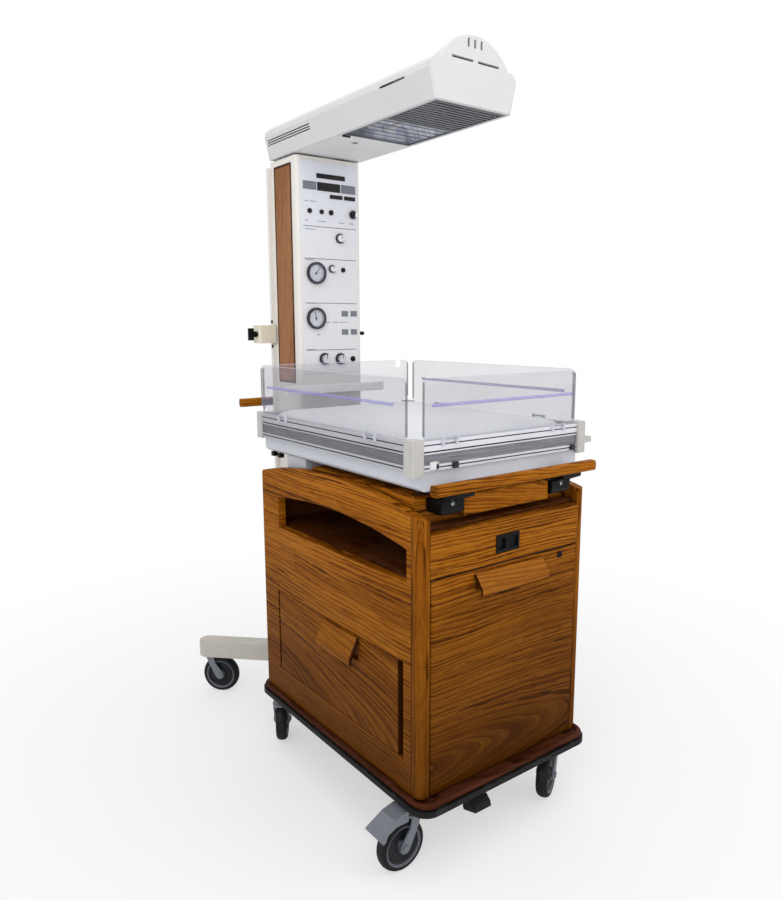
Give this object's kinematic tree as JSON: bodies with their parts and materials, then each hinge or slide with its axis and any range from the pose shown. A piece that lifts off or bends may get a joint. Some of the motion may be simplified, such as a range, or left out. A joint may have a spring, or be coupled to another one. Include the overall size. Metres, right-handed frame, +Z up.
{
  "type": "infant warmer",
  "caption": "Mobile infant warmer: swivelling radiant hood on a column, tilting bed with clear drop panels, wooden cabinet with doors, push bars and castors.",
  "frame": {"origin": "on the floor under the middle of the whole unit's bounding box", "axes": "+Z up, the cabinet's front and its front door face -Y, the column is towards +Y, the side door is on -X"},
  "size_m": [0.696, 1.207, 1.8569],
  "materials": {
    "oak": "golden oak, satin varnish",
    "dark_oak": "dark stained inside, satin",
    "trim_oak": "dark grained, satin varnish",
    "white_paint": "satin powder coat",
    "panel_print": "printed satin panel",
    "chassis_paint": "satin powder coat",
    "rim_aluminium": "anodised, grooved",
    "rim_plastic": "moulded",
    "zinc": "zinc plated",
    "castor_grey": "satin grey",
    "tyre": "black rubber on a grey hub",
    "bumper": "matte",
    "black_plastic": "moulded",
    "black_metal": "satin black",
    "ivory_plastic": "moulded",
    "keypad": "windows, keys and lamps",
    "lens": "clear",
    "acrylic": "clear acrylic with violet edges",
    "mattress_cover": "coated white cover",
    "mirror_metal": "polished",
    "quartz": "quartz tube",
    "guard_metal": "wires and dark slats"
  },
  "bodies": {
    "frame": {"base_board": "oak", "base_bumper": "bumper", "side_panels": "oak", "inner_boards": "dark_oak", "front_panel": "oak", "socket_plate": "black_plastic", "hinge_pins": "zinc", "riser": "oak", "push_bars": "oak", "bar_brackets": "black_plastic", "chassis": "chassis_paint", "castor_plates": "zinc", "column_shell": "white_paint", "wood_trims": "trim_oak", "control_panel": "panel_print", "panel_inserts": "keypad", "gauge_lenses": "lens", "accessory_rail": "white_paint", "rail_clamps": "ivory_plastic", "hood_pivot": "black_metal"},
    "hood": {"hood_shell": "white_paint", "hood_pan": "white_paint", "reflector": "mirror_metal", "heater_rod": "quartz", "heater_guard": "guard_metal"},
    "bed": {"bed_tray": "white_paint", "rim_rails": "rim_aluminium", "rim_hardware": "rim_plastic", "mattress": "mattress_cover"},
    "front_door": {"front_door": "oak"},
    "side_door": {"side_door": "oak"},
    "pullout_board": {"pullout_board": "oak"},
    "foot_pedal": {"foot_pedal": "black_plastic"},
    "fork_front_left": {"fork_front_left": "castor_grey"},
    "fork_front_right": {"fork_front_right": "castor_grey"},
    "fork_rear_left": {"fork_rear_left": "castor_grey"},
    "fork_rear_right": {"fork_rear_right": "castor_grey"},
    "fork_outer_left": {"fork_outer_left": "castor_grey"},
    "fork_outer_right": {"fork_outer_right": "castor_grey"},
    "wheel_front_left": {"wheel_front_left": "tyre"},
    "wheel_front_right": {"wheel_front_right": "tyre"},
    "wheel_rear_left": {"wheel_rear_left": "tyre"},
    "wheel_rear_right": {"wheel_rear_right": "tyre"},
    "wheel_outer_left": {"wheel_outer_left": "tyre"},
    "wheel_outer_right": {"wheel_outer_right": "tyre"},
    "brake_front_left": {"brake_front_left": "castor_grey"},
    "brake_rear_right": {"brake_rear_right": "castor_grey"},
    "needle_upper": {"needle_upper": "black_plastic"},
    "needle_lower": {"needle_lower": "black_plastic"},
    "knob_temperature": {"knob_temperature": "black_plastic"},
    "knob_timer": {"knob_timer": "black_plastic"},
    "knob_vacuum": {"knob_vacuum": "black_plastic"},
    "knob_oxygen": {"knob_oxygen": "black_plastic"},
    "knob_air": {"knob_air": "black_plastic"},
    "clamp_screw_left": {"clamp_screw_left": "black_plastic"},
    "clamp_screw_right": {"clamp_screw_right": "black_plastic"},
    "clear_panel_front": {"clear_panel_front": "acrylic"},
    "clear_panel_left": {"clear_panel_left": "acrylic"},
    "clear_panel_right": {"clear_panel_right": "acrylic"},
    "clear_panel_rear": {"clear_panel_rear": "acrylic"}
  },
  "joints": [
    {"name": "hood_swivel", "type": "hinge", "parent": "frame", "child": "hood", "pos_m": [0, 0.26225, 1.709], "axis": [0, 0, 1], "range_deg": [-90, 90]},
    {"name": "bed_tilt", "type": "hinge", "parent": "frame", "child": "bed", "pos_m": [0, -0.4975, 0.878], "axis": [1, 0, 0], "range_deg": [0, 8]},
    {"name": "front_panel_drop", "type": "hinge", "parent": "bed", "child": "clear_panel_front", "pos_m": [0, -0.55, 0.997], "axis": [1, 0, 0], "range_deg": [0, 130]},
    {"name": "left_panel_drop", "type": "hinge", "parent": "bed", "child": "clear_panel_left", "pos_m": [-0.27, -0.1975, 0.997], "axis": [0, -1, 0], "range_deg": [0, 180]},
    {"name": "right_panel_drop", "type": "hinge", "parent": "bed", "child": "clear_panel_right", "pos_m": [0.27, -0.1975, 0.997], "axis": [0, 1, 0], "range_deg": [0, 180]},
    {"name": "rear_panel_lift", "type": "slide", "parent": "bed", "child": "clear_panel_rear", "axis": [0, 0, 1], "range_m": [0, 0.15]},
    {"name": "front_door_hinge", "type": "hinge", "parent": "frame", "child": "front_door", "pos_m": [-0.2225, -0.5545, 0.44], "axis": [0, 0, -1], "range_deg": [0, 95]},
    {"name": "side_door_hinge", "type": "hinge", "parent": "frame", "child": "side_door", "pos_m": [-0.2535, 0.0565, 0.385], "axis": [0, 0, -1], "range_deg": [0, 95]},
    {"name": "pullout_slide", "type": "slide", "parent": "frame", "child": "pullout_board", "axis": [0, -1, 0], "range_m": [0, 0.22]},
    {"name": "foot_pedal_hinge", "type": "hinge", "parent": "frame", "child": "foot_pedal", "pos_m": [-0.0775, -0.5205, 0.152], "axis": [1, 0, 0], "range_deg": [0, 12], "stiffness_Nm_per_rad": 15, "springref_deg": -5.73},
    {"name": "brake_pedal_front_left", "type": "hinge", "parent": "fork_front_left", "child": "brake_front_left", "pos_m": [-0.274, -0.5025, 0.141], "axis": [0, -1, 0], "range_deg": [-5, 9]},
    {"name": "brake_pedal_rear_right", "type": "hinge", "parent": "fork_rear_right", "child": "brake_rear_right", "pos_m": [0.274, 0.1225, 0.141], "axis": [0, 1, 0], "range_deg": [-5, 9]},
    {"name": "castor_swivel_front_left", "type": "hinge", "parent": "frame", "child": "fork_front_left", "pos_m": [-0.236, -0.5025, 0.15], "axis": [0, 0, 1], "continuous": true},
    {"name": "castor_swivel_front_right", "type": "hinge", "parent": "frame", "child": "fork_front_right", "pos_m": [0.236, -0.5025, 0.15], "axis": [0, 0, 1], "continuous": true},
    {"name": "castor_swivel_rear_left", "type": "hinge", "parent": "frame", "child": "fork_rear_left", "pos_m": [-0.236, 0.1225, 0.15], "axis": [0, 0, 1], "continuous": true},
    {"name": "castor_swivel_rear_right", "type": "hinge", "parent": "frame", "child": "fork_rear_right", "pos_m": [0.236, 0.1225, 0.15], "axis": [0, 0, 1], "continuous": true},
    {"name": "castor_swivel_outer_left", "type": "hinge", "parent": "frame", "child": "fork_outer_left", "pos_m": [-0.26155, 0.56722, 0.15], "axis": [0, 0, 1], "continuous": true},
    {"name": "castor_swivel_outer_right", "type": "hinge", "parent": "frame", "child": "fork_outer_right", "pos_m": [0.26155, 0.56722, 0.15], "axis": [0, 0, 1], "continuous": true},
    {"name": "wheel_spin_front_left", "type": "hinge", "parent": "fork_front_left", "child": "wheel_front_left", "pos_m": [-0.269, -0.5025, 0.0615], "axis": [0, -1, 0], "continuous": true},
    {"name": "wheel_spin_front_right", "type": "hinge", "parent": "fork_front_right", "child": "wheel_front_right", "pos_m": [0.20686, -0.51799, 0.0615], "axis": [0.4695, -0.8829, 0], "continuous": true},
    {"name": "wheel_spin_rear_left", "type": "hinge", "parent": "fork_rear_left", "child": "wheel_rear_left", "pos_m": [-0.21755, 0.14986, 0.0615], "axis": [-0.829, 0.5592, 0], "continuous": true},
    {"name": "wheel_spin_rear_right", "type": "hinge", "parent": "fork_rear_right", "child": "wheel_rear_right", "pos_m": [0.269, 0.1225, 0.0615], "axis": [0, 1, 0], "continuous": true},
    {"name": "wheel_spin_outer_left", "type": "hinge", "parent": "fork_outer_left", "child": "wheel_outer_left", "pos_m": [-0.23822, 0.54388, 0.0615], "axis": [0.7071, 0.7071, 0], "continuous": true},
    {"name": "wheel_spin_outer_right", "type": "hinge", "parent": "fork_outer_right", "child": "wheel_outer_right", "pos_m": [0.23822, 0.54388, 0.0615], "axis": [0.7071, -0.7071, 0], "continuous": true},
    {"name": "clamp_screw_turn_left", "type": "hinge", "parent": "frame", "child": "clamp_screw_left", "pos_m": [-0.15, 0.33025, 1.207], "axis": [1, 0, 0], "continuous": true},
    {"name": "clamp_screw_turn_right", "type": "hinge", "parent": "frame", "child": "clamp_screw_right", "pos_m": [0.15, 0.33025, 1.207], "axis": [1, 0, 0], "continuous": true},
    {"name": "needle_sweep_upper", "type": "hinge", "parent": "frame", "child": "needle_upper", "pos_m": [-0.051, 0.179, 1.382], "axis": [0, 1, 0], "range_deg": [-170, 90]},
    {"name": "needle_sweep_lower", "type": "hinge", "parent": "frame", "child": "needle_lower", "pos_m": [-0.054, 0.179, 1.253], "axis": [0, 1, 0], "range_deg": [-120, 140]},
    {"name": "knob_turn_temperature", "type": "hinge", "parent": "frame", "child": "knob_temperature", "pos_m": [0.08, 0.1745, 1.555], "axis": [0, 1, 0], "range_deg": [-140, 140]},
    {"name": "knob_turn_timer", "type": "hinge", "parent": "frame", "child": "knob_timer", "pos_m": [0.033, 0.1745, 1.484], "axis": [0, 1, 0], "range_deg": [-140, 140]},
    {"name": "knob_turn_vacuum", "type": "hinge", "parent": "frame", "child": "knob_vacuum", "pos_m": [0.004, 0.1745, 1.396], "axis": [0, 1, 0], "range_deg": [-140, 140]},
    {"name": "knob_turn_oxygen", "type": "hinge", "parent": "frame", "child": "knob_oxygen", "pos_m": [-0.027, 0.1745, 1.1345], "axis": [0, 1, 0], "range_deg": [-140, 140]},
    {"name": "knob_turn_air", "type": "hinge", "parent": "frame", "child": "knob_air", "pos_m": [0.029, 0.1745, 1.133], "axis": [0, 1, 0], "range_deg": [-140, 140]}
  ]
}
